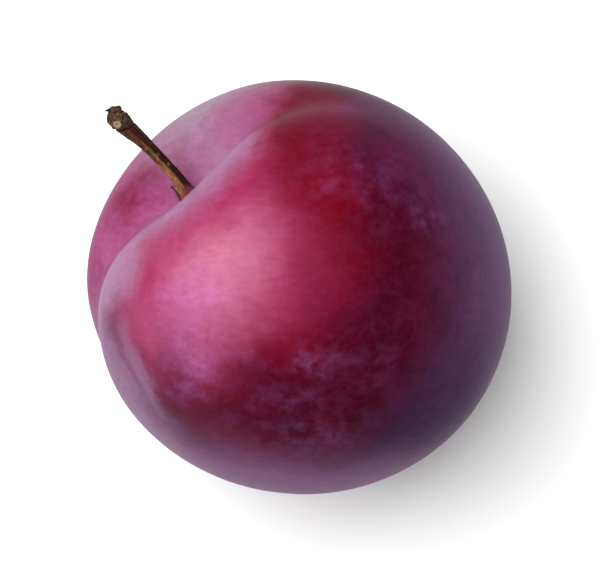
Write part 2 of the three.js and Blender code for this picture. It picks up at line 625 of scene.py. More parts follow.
def crowd_faces(tree, inputs):
    """The unit direction of each point of the ball, crowded to the furrows and the stalk."""
    place = add_node(tree, "GeometryNodeInputPosition")
    own = add_node(tree, "ShaderNodeSeparateXYZ", place).outputs
    polar = add_node(tree, MATH, own["Z"], operation="ARCCOSINE")
    level = add_node(tree, MATH, polar, operation="SINE")
    pull = add_node(tree, MATH, level, inputs["Crowd to stalk"], operation="MULTIPLY")
    polar = add_node(tree, MATH, polar, pull, operation="SUBTRACT")
    around = add_node(tree, MATH, own["Y"], own["X"], operation="ARCTAN2")
    twice = add_node(tree, MATH, around, 2.0, operation="MULTIPLY")
    swing = add_node(tree, MATH, twice, operation="SINE")
    pull = add_node(tree, MATH, swing, inputs["Crowd to furrows"], operation="MULTIPLY")
    around = add_node(tree, MATH, around, pull, operation="SUBTRACT")
    level = add_node(tree, MATH, polar, operation="SINE")
    cosine = add_node(tree, MATH, around, operation="COSINE")
    sine = add_node(tree, MATH, around, operation="SINE")
    x = add_node(tree, MATH, level, cosine, operation="MULTIPLY")
    y = add_node(tree, MATH, level, sine, operation="MULTIPLY")
    z = add_node(tree, MATH, polar, operation="COSINE")
    return add_node(tree, "ShaderNodeCombineXYZ", x, y, z)


def oval_body(tree, inputs, way, x, y, stalk_side):
    """Distance to the skin of the plain, slightly lopsided oval."""
    end = add_node(
        tree, MIX, stalk_side, inputs["Blossom end"], inputs["Stalk end"], data_type="FLOAT"
    )
    radii = add_node(
        tree, "ShaderNodeCombineXYZ", inputs["Suture radius"], inputs["Cheek radius"], end
    )
    share = add_node(tree, VECTOR, way, radii, operation="DIVIDE")
    length = add_node(tree, VECTOR, share, operation="LENGTH").outputs["Value"]
    z = add_node(tree, "ShaderNodeSeparateXYZ", way).outputs["Z"]
    side = add_node(tree, MATH, x, inputs["Lean to suture"], operation="MULTIPLY")
    side = add_node(tree, MATH, z, inputs["Lean to stalk"], side, operation="MULTIPLY_ADD")
    lean = add_node(tree, MATH, side, y, 1.0, operation="MULTIPLY_ADD")
    return add_node(tree, MATH, lean, length, operation="DIVIDE")


def stalk_hollow(tree, inputs, x, y, stalk_side):
    """Depth of the hollow round the stalk."""
    radius = inputs["Suture radius"]
    x = add_node(tree, MATH, x, radius, operation="MULTIPLY")
    y = add_node(tree, MATH, y, radius, operation="MULTIPLY")
    x = add_node(tree, MATH, x, inputs["Hollow shift X"], operation="SUBTRACT")
    y = add_node(tree, MATH, y, inputs["Hollow shift Y"], operation="SUBTRACT")
    along = falloff(tree, x, inputs["Hollow reach X"])
    across = falloff(tree, y, inputs["Hollow reach Y"])
    depth = add_node(tree, MATH, inputs["Hollow depth"], along, operation="MULTIPLY")
    depth = add_node(tree, MATH, depth, across, operation="MULTIPLY")
    return add_node(tree, MATH, depth, stalk_side, operation="MULTIPLY")


def furrows(tree, inputs, x, y, z):
    """Depth of the suture groove with its fine crease, and of the valley opposite."""
    around = add_node(tree, MATH, x, z, operation="ARCTAN2")
    suture_side = add_node(tree, MATH, around, 0.0, operation="GREATER_THAN")
    share = add_node(tree, MATH, around, math.pi, operation="DIVIDE")
    share = add_node(tree, MATH, share, 0.0, operation="MAXIMUM")
    quarter = add_node(tree, MATH, share, math.pi / 2, operation="MULTIPLY")
    fade = add_node(tree, MATH, quarter, operation="COSINE")
    left = add_node(tree, MATH, 1.0, share, operation="SUBTRACT")
    fade = add_node(tree, MATH, fade, left, operation="MULTIPLY")
    groove = add_node(tree, MATH, fade, inputs["Groove depth"], operation="MULTIPLY")
    valley = falloff(tree, around, inputs["Valley reach"])
    valley = add_node(tree, MATH, valley, inputs["Valley depth"], operation="MULTIPLY")
    depth = add_node(tree, MIX, suture_side, valley, groove, data_type="FLOAT")
    aside = add_node(tree, MATH, y, inputs["Suture radius"], operation="MULTIPLY")
    depth = add_node(
        tree, MATH, depth, falloff(tree, aside, inputs["Groove half width"]), operation="MULTIPLY"
    )
    crease = falloff(tree, aside, inputs["Crease half width"])
    crease = add_node(tree, MATH, crease, inputs["Crease depth"], operation="MULTIPLY")
    crease = add_node(tree, MATH, crease, suture_side, operation="MULTIPLY")
    both = add_node(tree, MATH, depth, crease, operation="ADD")
    near = falloff(tree, around, inputs["Furrow start"])
    start = add_node(tree, MATH, 1.0, near, operation="SUBTRACT")
    return add_node(tree, MATH, both, start, operation="MULTIPLY")


def blossom_dimple(tree, inputs, x, y, stalk_side):
    """Depth of the dimple at the blossom end, less the dry point left in it."""
    flat = add_node(tree, "ShaderNodeCombineXYZ", x, y, 0.0)
    aside = add_node(tree, VECTOR, flat, operation="LENGTH").outputs["Value"]
    aside = add_node(tree, MATH, aside, inputs["Blossom end"], operation="MULTIPLY")
    dimple = falloff(tree, aside, inputs["Dimple reach"])
    dimple = add_node(tree, MATH, dimple, inputs["Dimple depth"], operation="MULTIPLY")
    point = falloff(tree, aside, inputs["Style reach"])
    point = add_node(tree, MATH, point, inputs["Style height"], operation="MULTIPLY")
    depth = add_node(tree, MATH, dimple, point, operation="SUBTRACT")
    blossom_side = add_node(tree, MATH, 1.0, stalk_side, operation="SUBTRACT")
    return add_node(tree, MATH, depth, blossom_side, operation="MULTIPLY")


def skin_swells(tree, inputs, way):
    """Height of the low swells in the skin."""
    scale = add_node(
        tree, MATH, inputs["Suture radius"], inputs["Wave length"], operation="DIVIDE"
    )
    noise = add_node(
        tree,
        NOISE,
        named={"Vector": way, "W": inputs["Seed"], "Scale": scale, "Detail": 1.0},
        noise_dimensions="4D",
    )
    centred = add_node(tree, MATH, noise, 0.5, operation="SUBTRACT")
    return add_node(tree, MATH, centred, inputs["Waviness"], operation="MULTIPLY")


def rest_flat(tree, inputs, place):
    """Lifts what would lie below the floor on to it, with a soft edge."""
    own = add_node(tree, "ShaderNodeSeparateXYZ", place).outputs
    height = add_node(
        tree, MATH, own["Z"], 0.0, inputs["Rest softness"], operation="SMOOTH_MAX"
    )
    return add_node(tree, "ShaderNodeCombineXYZ", own["X"], own["Y"], height)


def build_fruit_tree(settings):
    """The tree that shapes a ball into the fruit and lays it on its cheek."""
    tree, inputs = start_tree("Plum fruit", settings, geometry_in=False)
    ball = add_node(
        tree, "GeometryNodeMeshUVSphere", inputs["Meridians"], inputs["Parallels"], 1.0
    )
    way = crowd_faces(tree, inputs)
    own = add_node(tree, "ShaderNodeSeparateXYZ", way).outputs
    x, y, z = own["X"], own["Y"], own["Z"]
    stalk_side = add_node(tree, MATH, z, 0.0, operation="GREATER_THAN")
    distance = oval_body(tree, inputs, way, x, y, stalk_side)
    for depth in (
        stalk_hollow(tree, inputs, x, y, stalk_side),
        furrows(tree, inputs, x, y, z),
        blossom_dimple(tree, inputs, x, y, stalk_side),
        skin_swells(tree, inputs, way),
    ):
        distance = add_node(tree, MATH, distance, depth, operation="SUBTRACT")
    shaped = add_node(tree, VECTOR, way, named={"Scale": distance}, operation="SCALE")
    kept = add_node(tree, STORE, ball, None, "fruit_place", shaped, **VECTOR_DATA)
    turned = lay_down(tree, shaped, inputs)
    placed = add_node(tree, VECTOR, turned, inputs["Middle"], operation="ADD")
    resting = rest_flat(tree, inputs, placed)
    moved = add_node(tree, "GeometryNodeSetPosition", kept, None, resting)
    end_tree(tree, moved, inputs["Material"])
    return tree


# ------------------------------------------------------------------ stalk

# Where the stalk's centre line runs and how wide it is there, in mm:
# along the stalk, towards its left, towards its upper side, and the width
STALK_STATIONS = (
    (-1.0, 0.5, 0.0, 2.65),  # foot, sunk into the fruit
    (0.3, 0.47, 0.0, 2.5),
    (1.8, 0.24, 0.12, 1.95),
    (3.3, 0.07, 0.25, 1.6),
    (6.6, 0.1, 0.4, 1.55),  # slimmest stretch
    (10.0, 0.26, 0.4, 1.75),
    (12.6, 0.54, 0.3, 2.2),
    (13.8, 0.62, 0.2, 2.5),  # neck under the knob
    (14.5, 0.66, 0.15, 2.65),
    (15.3, 0.62, 0.1, 2.3),
    (16.0, 0.48, 0.1, 1.45),
    (16.5, 0.48, 0.1, 0.7),  # broken end
)

# Pointed scales on the knob, and last the sliver of bark torn up at the foot and its curl:
# height along the stalk and distance out from its middle in mm, degrees round from its left
# side, degrees of lean outwards, length and width in mm
SCALES = (
    (15.4, -0.7, 10, 37, 2.1, 2.0),
    (13.9, 0.95, 165, 21, 1.15, 0.8),
    (13.1, 0.9, 190, 20, 1.1, 0.7),
    (14.9, 0.6, 285, 24, 1.3, 1.0),
    (0.3, 1.2, 15, -8, 2.9, 0.6),
    (2.8, 1.2, 15, 100, 0.4, 0.5),
)
SCALE_THINNESS = 0.7  # thickness over width
KNOB_RISE = 0.7 * MM  # how far along the knob its lumps reach their full height

# The leaf scar, in shares of its radius: where its disc comes up and where its middle sinks
SCAR_EDGE = (1.15, 0.85)
SCAR_PIT = (0.75, 0.3)
PIT_DEPTH = 0.6  # how deep the middle sinks, as a share of the scar's height
FAR_FROM_SCAR = 99.0  # kept on the scales, and far more than any share on the shaft

WART_EDGE = (0.22, 0.08)  # where a wart comes up, in shares of the warts' spacing
WARTS_END = 12.5 * MM  # height along the stalk where the warts end


def on_stalk(along, out, around):
    """The point that lies a distance out from the stalk's centre line at a height."""
    above = next(i for i, station in enumerate(STALK_STATIONS) if station[0] > along)
    low, high = STALK_STATIONS[above - 1], STALK_STATIONS[above]
    share = (along - low[0]) / (high[0] - low[0])
    left = low[1] + share * (high[1] - low[1]) + out * math.cos(math.radians(around))
    up = low[2] + share * (high[2] - low[2]) + out * math.sin(math.radians(around))
    return Vector((left, up, along)) * MM


def stalk_plan():
    """The stations joined in a line, and a loose point for each scale, with their sizes."""
    line = [Vector((left, up, along)) * MM for along, left, up, _ in STALK_STATIONS]
    roots = [on_stalk(along, out, around) for along, out, around, *_ in SCALES]
    mesh = bpy.data.meshes.new("stalk_plan")
    mesh.from_pydata(line + roots, [(i, i + 1) for i in range(len(line) - 1)], [])
    width = mesh.attributes.new("width", "FLOAT", "POINT")
    for i, station in enumerate(STALK_STATIONS):
        width.data[i].value = station[3] * MM
    is_scale = mesh.attributes.new("is_scale", "BOOLEAN", "POINT")
    for i in range(len(line), len(line) + len(roots)):
        is_scale.data[i].value = True
    turn = mesh.attributes.new("turn", "FLOAT_VECTOR", "POINT")
    for i, (_, _, around, lean, _, _) in enumerate(SCALES, start=len(line)):
        turn.data[i].vector = (0, math.radians(lean), math.radians(around))
    size = mesh.attributes.new("size", "FLOAT_VECTOR", "POINT")
    for i, (*_, length, broad) in enumerate(SCALES, start=len(line)):
        size.data[i].vector = Vector((broad * SCALE_THINNESS / 2, broad / 2, length)) * MM
    return mesh


def make_shaft(tree, inputs, plan):
    """A tube led through the stations, with its centre line kept as an attribute."""
    line = add_node(tree, "GeometryNodeMeshToCurve", plan)
    line = add_node(tree, "GeometryNodeCurveSplineType", line, spline_type="CATMULL_ROM")
    line = add_node(tree, "GeometryNodeResampleCurve", line, None, inputs["Rows"])
    place = add_node(tree, "GeometryNodeInputPosition")
    line = add_node(tree, STORE, line, None, "centre", place, **VECTOR_DATA)
    ring = add_node(tree, "GeometryNodeCurvePrimitiveCircle", inputs["Sides"], 1.0)
    width = add_node(tree, READ, "width", data_type="FLOAT")
    radius = add_node(tree, MATH, width, 2.0, operation="DIVIDE")
    return add_node(tree, "GeometryNodeCurveToMesh", line, ring, radius, True)


def bark_noise(tree, inputs, place, spacing, stretch, detail):
    """Noise from -0.5 to 0.5 whose patches lie a spacing apart, drawn out along the stalk."""
    squeeze = add_node(tree, MATH, 1.0, stretch, operation="DIVIDE")
    squeeze = add_node(tree, "ShaderNodeCombineXYZ", 1.0, 1.0, squeeze)
    drawn = add_node(tree, VECTOR, place, squeeze, operation="MULTIPLY")
    scale = add_node(tree, MATH, 1.0, spacing, operation="DIVIDE")
    noise = add_node(
        tree,
        NOISE,
        named={"Vector": drawn, "W": inputs["Seed"], "Scale": scale, "Detail": detail},
        noise_dimensions="4D",
    )
    return add_node(tree, MATH, noise, 0.5, operation="SUBTRACT")


def bark_relief(tree, inputs, place, arm):
    """How far the bark stands out, as a share of the radius: ribs, wrinkles, knob and neck."""
    side = add_node(tree, "ShaderNodeSeparateXYZ", arm).outputs
    own = add_node(tree, "ShaderNodeSeparateXYZ", place).outputs
    around = add_node(tree, MATH, side["Y"], side["X"], operation="ARCTAN2")
    twist = add_node(tree, MATH, own["Z"], inputs["Rib twist"], operation="MULTIPLY")
    around = add_node(tree, MATH, around, twist, operation="SUBTRACT")
    wave = add_node(tree, MATH, around, inputs["Rib count"], operation="MULTIPLY")
    wave = add_node(tree, MATH, wave, operation="COSINE")
    ribs = add_node(tree, MATH, wave, inputs["Rib relief"], operation="MULTIPLY")
    grain = bark_noise(tree, inputs, place, inputs["Grain width"], inputs["Grain stretch"], 3.0)
    relief = add_node(
        tree, MATH, grain, inputs["Grain relief"], ribs, operation="MULTIPLY_ADD"
    )
    knob_end = add_node(tree, MATH, inputs["Knob start"], KNOB_RISE, operation="ADD")
    knob = add_node(tree, MAP_RANGE, own["Z"], inputs["Knob start"], knob_end, 0.0, 1.0, **SMOOTH)
    lumps = bark_noise(tree, inputs, place, inputs["Knob lumps"], 1.0, 4.0)
    lumps = add_node(tree, MATH, lumps, inputs["Knob relief"], operation="MULTIPLY")
    relief = add_node(tree, MATH, lumps, knob, relief, operation="MULTIPLY_ADD")
    climb = add_node(tree, MATH, side["X"], inputs["Neck tilt"], operation="MULTIPLY")
    neck = add_node(tree, MATH, own["Z"], inputs["Neck height"], operation="SUBTRACT")
    neck = add_node(tree, MATH, neck, climb, operation="SUBTRACT")
    neck = falloff(tree, neck, inputs["Neck width"])
    neck = add_node(tree, MATH, neck, inputs["Neck depth"], operation="MULTIPLY")
    return add_node(tree, MATH, relief, neck, operation="SUBTRACT")


def scar_share(tree, inputs, place):
    """0 at the middle of the leaf scar, 1 at its rim."""
    aside = add_node(tree, VECTOR, place, inputs["Scar place"], operation="DISTANCE")
    return add_node(
        tree, MATH, aside.outputs["Value"], inputs["Scar radius"], operation="DIVIDE"
    )


def wart_share(tree, inputs, place):
    """1 on the corky warts scattered over the shaft, 0 between them."""
    scale = add_node(tree, MATH, 1.0, inputs["Wart spacing"], operation="DIVIDE")
    cells = add_node(
        tree, "ShaderNodeTexVoronoi", named={"Vector": place, "Scale": scale}
    ).outputs
    wart = add_node(tree, MAP_RANGE, cells["Distance"], *WART_EDGE, 0.0, 1.0, **SMOOTH)
    height = add_node(tree, "ShaderNodeSeparateXYZ", place).outputs["Z"]
    shaft = add_node(tree, MAP_RANGE, height, inputs["Knob start"], WARTS_END, 0.0, 1.0, **SMOOTH)
    return add_node(tree, MATH, wart, shaft, operation="MULTIPLY")


def carve_shaft(tree, inputs, shaft):
    """Gives the tube its bark, the knob, the neck line, the leaf scar and the warts."""
    place = add_node(tree, "GeometryNodeInputPosition")
    centre = add_node(tree, READ, "centre", **VECTOR_DATA)
    arm = add_node(tree, VECTOR, place, centre, operation="SUBTRACT")
    out = add_node(tree, VECTOR, arm, operation="NORMALIZE")
    relief = bark_relief(tree, inputs, place, arm)
    moved = add_node(tree, VECTOR, arm, named={"Scale": relief}, operation="SCALE")
    scar = scar_share(tree, inputs, place)
    disc = add_node(tree, MAP_RANGE, scar, *SCAR_EDGE, 0.0, 1.0, **SMOOTH)
    pit = add_node(tree, MAP_RANGE, scar, *SCAR_PIT, 0.0, 1.0, **SMOOTH)
    rim = add_node(tree, MATH, pit, -PIT_DEPTH, disc, operation="MULTIPLY_ADD")
    rim = add_node(tree, MATH, rim, inputs["Scar height"], operation="MULTIPLY")
    wart = wart_share(tree, inputs, place)
    bump = add_node(tree, MATH, wart, inputs["Wart height"], rim, operation="MULTIPLY_ADD")
    bump = add_node(tree, VECTOR, out, named={"Scale": bump}, operation="SCALE")
    smooth = add_node(tree, MATH, 1.0, disc, operation="SUBTRACT")
    moved = add_node(tree, VECTOR, moved, named={"Scale": smooth}, operation="SCALE")
    shift = add_node(tree, VECTOR, moved, bump, operation="ADD")
    carved = add_node(tree, STORE, shaft, None, "scar", scar, data_type="FLOAT")
    carved = add_node(tree, STORE, carved, None, "wart", wart, data_type="FLOAT")
    return add_node(tree, "GeometryNodeSetPosition", carved, None, None, shift)


def make_scales(tree, inputs, roots):
    """A flattened, curled cone at each root."""
    cone = add_node(
        tree,
        "GeometryNodeMeshCone",
        named={
            "Vertices": inputs["Scale sides"],
            "Side Segments": 10,
            "Radius Top": 0.0,
            "Radius Bottom": 1.0,
            "Depth": 1.0,
        },
    )
    height = add_node(
        tree, "ShaderNodeSeparateXYZ", add_node(tree, "GeometryNodeInputPosition")
    ).outputs["Z"]
    curl = add_node(tree, MATH, height, 3.0, operation="POWER")
    curl = add_node(tree, MATH, curl, inputs["Scale curl"], operation="MULTIPLY")
    curl = add_node(tree, "ShaderNodeCombineXYZ", curl, 0.0, 0.0)
    curled = add_node(tree, "GeometryNodeSetPosition", cone, None, None, curl)
    turn = add_node(tree, READ, "turn", **VECTOR_DATA)
    turn = add_node(tree, "FunctionNodeEulerToRotation", turn)
    scales = add_node(
        tree,
        "GeometryNodeInstanceOnPoints",
        roots,
        named={
            "Instance": curled,
            "Rotation": turn,
            "Scale": add_node(tree, READ, "size", **VECTOR_DATA),
        },
    )
    scales = add_node(tree, "GeometryNodeRealizeInstances", scales)
    return add_node(tree, STORE, scales, None, "scar", FAR_FROM_SCAR, data_type="FLOAT")


def build_stalk_tree(settings):
    """The tree that grows the stalk and its scales out of the plan."""
    tree, inputs = start_tree("Plum stalk", settings, geometry_in=True)
    is_scale = add_node(tree, READ, "is_scale", data_type="BOOLEAN")
    parts = add_node(
        tree, "GeometryNodeSeparateGeometry", inputs["Geometry"], is_scale
    ).outputs
    shaft = carve_shaft(tree, inputs, make_shaft(tree, inputs, parts["Inverted"]))
    scales = make_scales(tree, inputs, parts["Selection"])
    both = tree.nodes.new("GeometryNodeJoinGeometry")
    for geometry in (shaft, scales):
        tree.links.new(geometry.outputs["Geometry"], both.inputs["Geometry"])
    place = add_node(tree, "GeometryNodeInputPosition")
    kept = add_node(tree, STORE, both, None, "stalk_place", place, **VECTOR_DATA)
    turned = lay_down(tree, place, inputs)
    placed = add_node(tree, VECTOR, turned, inputs["Middle"], operation="ADD")
    moved = add_node(tree, "GeometryNodeSetPosition", kept, None, placed)
    end_tree(tree, moved, inputs["Material"])
    return tree


# ------------------------------------------------------------------ skin

MAROON = "38000f"
CRIMSON = "580008"
RUBY = "5e000c"
CHERRY = "801234"
MAGENTA = "64082e"
WINE = "561028"
GARNET = "84284a"
ROSE = "7a3254"
BLUSH_AND_HIGHLIGHT = "8a3858"
PINK = "a25c74"
MAUVE = "865a78"
ASHEN = "84727e"
LILAC = "8c6c88"
ORCHID = "a0608c"
DUSK = "7c5876"
PLUM = "74486e"
VIOLET = "58385e"
GRAPE = "581c5c"
SLATE = "2c0a34"
INK = "241422"

# Areas of colour, each laid over the ones before it: mostly the skin's own colour, but some,
# as marked, are painted highlight, painted sheen and painted shade. The columns are: bearing
# and rise of its middle on the fruit and the turn of its long side, in degrees; half its length
# and half its width, in mm; how soft its edge is, from 0 to 1; its colour; and how much it
# covers.
PIGMENT_AND_PAINTED_LIGHT = (
    (150, -14, 90, 22, 14, 0.6, GARNET, 0.8),  # under the stalk end
    (-5, 0, 90, 28, 19, 0.43, VIOLET, 1),  # the side away from the light: a pale violet belt round the girth, partly wax bloom, partly painted sheen
    (-44, 24, 90, 11, 9, 0.6, SLATE, 0.85),  # its darkest part, where the light falls away most: painted shade
    (-98, -6, 90, 22, 19, 0.3, PLUM, 1),  # the same pale belt towards the blossom end: partly wax bloom, partly painted sheen
    (-156, -4, 90, 15, 17.7, 0.31, DUSK, 1),  # the same pale belt on the near cheek: partly wax bloom, partly painted sheen
    (165, 69, 36, 15, 11.5, 0.6, CHERRY, 0.85),  # a cherry flush round the pink patch, where its painted highlight fades out
    (-166, 52, 90, 8.5, 6.5, 0.7, BLUSH_AND_HIGHLIGHT, 1),  # the pink patch on the lit side: partly rose skin, partly painted highlight
    (-160, 64, 90, 7, 5.5, 0.7, BLUSH_AND_HIGHLIGHT, 0.9),
    (-168, 69, 0, 4.5, 4, 0.9, BLUSH_AND_HIGHLIGHT, 0.8),
    (166, 67, 36, 11.5, 7.5, 0.8, BLUSH_AND_HIGHLIGHT, 1),
    # its brightest middle: painted highlight
    (160, 69, 36, 6.5, 4.2, 0.95, PINK, 0.9),
    (138, 28, 75, 20.5, 16.5, 0.25, GARNET, 0.85),  # a ring outside the hollow's lip
    (76, 65, 15, 9, 4.5, 0.7, RUBY, 1),  # the fiery side
    (45, 84, 50, 6, 2.4, 0.8, MAGENTA, 0.6),
    (112, 58, -60, 7, 1.8, 0.9, CHERRY, 0.25),  # a streak along the lip
    (138, 27, 75, 17.4, 12.4, 0.3, MAUVE, 1),  # the hollow and its lip, pale mauve: partly wax bloom, partly painted sheen along the lip
    (86, 38, 0, 10, 6, 0.4, CRIMSON, 1),  # the fiery side, up to the lip
    (172, 47, -60, 5, 2, 0.8, CHERRY, 0.6),
    (150, -2, 90, 20, 12, 0.25, ROSE, 0.95),  # the cheek beyond the hollow
    # a pale patch at the far cheek's edge: painted highlight
    (118, 7, 90, 9, 5, 0.9, ASHEN, 0.85),
    (109, 26, 20, 6, 4, 0.6, ROSE, 0.6),
    (151, 11, 90, 5, 2.3, 0.8, RUBY, 0.75),
    (166, 14, 0, 3, 3, 0.9, ORCHID, 0.4),
    (-178, 23, 20, 9, 3.1, 0.8, LILAC, 0.8),  # the near cheek's edge, pale lilac: partly wax bloom, partly painted sheen
    (-148, 31, 80, 7, 0.9, 0.9, WINE, 0.5),
    (-100, 73, 100, 6, 3, 0.9, RUBY, 0.5),  # a crimson belt under the pink patch
    (-126, 56, 126, 8, 2.6, 0.9, RUBY, 0.4),
    (-120, 42, 110, 6, 2, 0.9, WINE, 0.5),
    (-172, 72, 0, 4, 4, 0.9, PINK, 0.4),  # smears over the pink patch and its painted highlight
    (-172, 61, 0, 5, 3, 0.9, ORCHID, 0.35),
    (-150, 56, 30, 4, 3, 0.9, ORCHID, 0.3),
    (-139, 45, 60, 4.5, 2.6, 0.9, WINE, 0.8),
    (102, 38, -5, 8, 2, 0.9, CHERRY, 0.35),
    (100, 83, 90, 4, 6, 0.9, GARNET, 0.55),  # between the pink patch and the fiery side
    (90, 60, 90, 4, 3.5, 0.9, GARNET, 0.12),
    (35, 77, 15, 7, 4, 0.9, CRIMSON, 0.5),  # deeper colour in the middle
    (-111, 62, 90, 4.5, 3, 0.9, MAROON, 0.5),
    (36, 61, 0, 4, 3, 0.9, MAROON, 0.5),
    (16, 53, 90, 3, 2.5, 0.9, MAROON, 0.4),
    (62, 34, 90, 14, 9, 0.8, GRAPE, 0.12),  # bluer beyond the fiery side
    (-48, 54, 90, 4, 3, 0.9, MAROON, 0.3),
    (-106, 38, 90, 6, 3, 0.9, WINE, 0.3),  # darker dabs and a pale streak low down
    (-145, 52, 60, 4, 3, 0.9, WINE, 0.35),
    (-172, 53, 0, 3, 2.5, 0.9, CHERRY, 0.3),
    (-150, 34, 75, 6, 1.6, 0.9, LILAC, 0.45),
    (-146, 40, 75, 5, 1.5, 0.9, WINE, 0.12),
    (38, 47, 0, 0.5, 0.35, 0.6, INK, 0.7),  # small marks
    (-17, 67, 0, 0.5, 0.45, 0.6, INK, 0.6),
    (-43, 15, 60, 0.9, 0.3, 0.7, LILAC, 0.5),
)

# Patches where the wax lies thicker, in the same columns without the colour
WAX_PATCHES = (
    (73, 30, 90, 2.4, 1.9, 0.9, 0.35),  # on the fiery side
    (75, 52, 90, 3, 3, 0.9, 0.2),
    (70, 58, -30, 4, 1.2, 0.9, 0.4),
    (50, 54, 0, 5, 4, 0.9, 0.25),  # towards the shaded side
    (30, 49, 0, 3, 2.4, 0.9, 0.6),
    (-176, 62, 0, 4, 3, 0.9, 0.5),  # on the pink patch with its painted highlight
    (-152, 60, 0, 3, 2.6, 0.9, 0.5),
    (-139, 50, 0, 4, 3, 0.9, 0.9),
    (-78, 70, 90, 3.4, 2.2, 0.9, 0.65),  # on the crimson belt and below it
    (-54, 62, 90, 5, 4, 0.9, 0.2),
    (-84, 46, 90, 6, 4, 0.9, 0.5),
    (-115, 52, 90, 6, 4, 0.9, 0.18),
    (-134, 66, 90, 3, 2, 0.9, 0.35),
    (-94, 59, 90, 4, 2, 0.9, 0.35),
    (145, 12, 90, 18, 10, 0.4, 0.4),  # the cheek beyond the hollow
    (-30, 4, 90, 34, 17, 0.4, 0.14),  # a thin pale veil round the side away from the light: partly wax bloom, partly painted sheen
)

# How the edges of the areas wander: the distance between their bends and how far they go, in mm
RAGGED_EDGES = (9, 6)
RAGGED_FINELY = (3, 3)

# Distances between the patches of a pattern, in mm. The grains of wax and the cells of the
# skin are too fine to show, so they are drawn as specks and streaks about a mm apart.
MOTTLES = 4.5
WISPS = 2.6
SPECKS = 0.9
STREAKS = (0.7, 1.4, 1)  # how many streaks there are in a mm, each way
GRAIN_HEIGHT = 0.012 * MM  # how far the streaks stand out

GLOSS_TINT = "ffb8d0"
SHEEN_TINT = "b8a8d8"


def lay_area(tree, place, radius, area):
    """How much an oval area on the fruit covers a place: 0 outside it, its cover well inside."""
    bearing, rise, turn, length, width, softness, cover = area
    turned = Matrix.Rotation(math.radians(bearing), 3, "Z")
    turned = turned @ Matrix.Rotation(math.pi / 2 - math.radians(rise), 3, "Y")
    turned = turned @ Matrix.Rotation(math.radians(turn), 3, "Z")
    local = add_node(
        tree,
        "ShaderNodeMapping",
        place,
        turned @ Vector((0, 0, radius)),
        turned.to_euler(),
        (length, width, max(length, width)),
        vector_type="TEXTURE",
    )
    reach = add_node(tree, VECTOR, local, operation="LENGTH").outputs["Value"]
    return add_node(tree, MAP_RANGE, reach, 1 + softness, 1 - softness, 0.0, cover, **SMOOTH)


def wander(tree, place, spacing, reach):
    """Moves places about by a noise, so that the edges of the areas come out ragged."""
    noise = add_node(
        tree, NOISE, named={"Vector": place, "Scale": 1 / spacing, "Detail": 5, "Roughness": 0.6}
    ).outputs["Color"]
    centred = add_node(tree, VECTOR, noise, (0.5, 0.5, 0.5), operation="SUBTRACT")
    return add_node(tree, VECTOR, centred, (reach, reach, reach), place, operation="MULTIPLY_ADD")


def skin_pigment_and_painted_light(tree, look, place, ragged, radius):
    """Maroon skin, mottled, with areas of its own colour and of painted light laid over it."""
    mottle = add_node(
        tree, NOISE, named={"Vector": place, "Scale": 1 / MOTTLES, "Detail": 6, "Roughness": 0.65}
    )
    share = add_node(tree, MAP_RANGE, mottle, 0.35, 0.65, 0.0, 1.0, **SMOOTH)
    dark, light = (*look.dark_ground, 1), (*look.light_ground, 1)
    colour = add_node(tree, MIX, share, dark, light, data_type="RGBA")
    for *oval, pigment_and_painted_light, cover in PIGMENT_AND_PAINTED_LIGHT:
        share = lay_area(tree, ragged, radius, (*oval, cover))
        colour = add_node(tree, MIX, share, colour, (*linear(pigment_and_painted_light), 1), data_type="RGBA")
    return colour


def skin_wax(tree, look, place, ragged, radius):
    """How thick the wax lies: wisps everywhere, thicker in the patches, and a dust of specks."""
    patches = 0.0
    for area in WAX_PATCHES:
        share = lay_area(tree, ragged, radius, area)
        patches = add_node(tree, MATH, share, patches, operation="MAXIMUM")
    thick = add_node(tree, MATH, patches, look.wax_everywhere, operation="ADD")
    clouds = add_node(
        tree, NOISE, named={"Vector": place, "Scale": 1 / WISPS, "Detail": 6, "Roughness": 0.65}
    )
    wisps = add_node(tree, MAP_RANGE, clouds, 0.36, 0.8, 0.0, 1.0, **SMOOTH)
    wax = add_node(tree, MATH, thick, wisps, operation="MULTIPLY")
    specks = add_node(
        tree, NOISE, named={"Vector": place, "Scale": 1 / SPECKS, "Detail": 4, "Roughness": 0.7}
    )
    dust = add_node(tree, MAP_RANGE, specks, 0.42, 0.8, 0.0, look.wax_dust)
    return add_node(tree, MATH, wax, dust, operation="ADD")


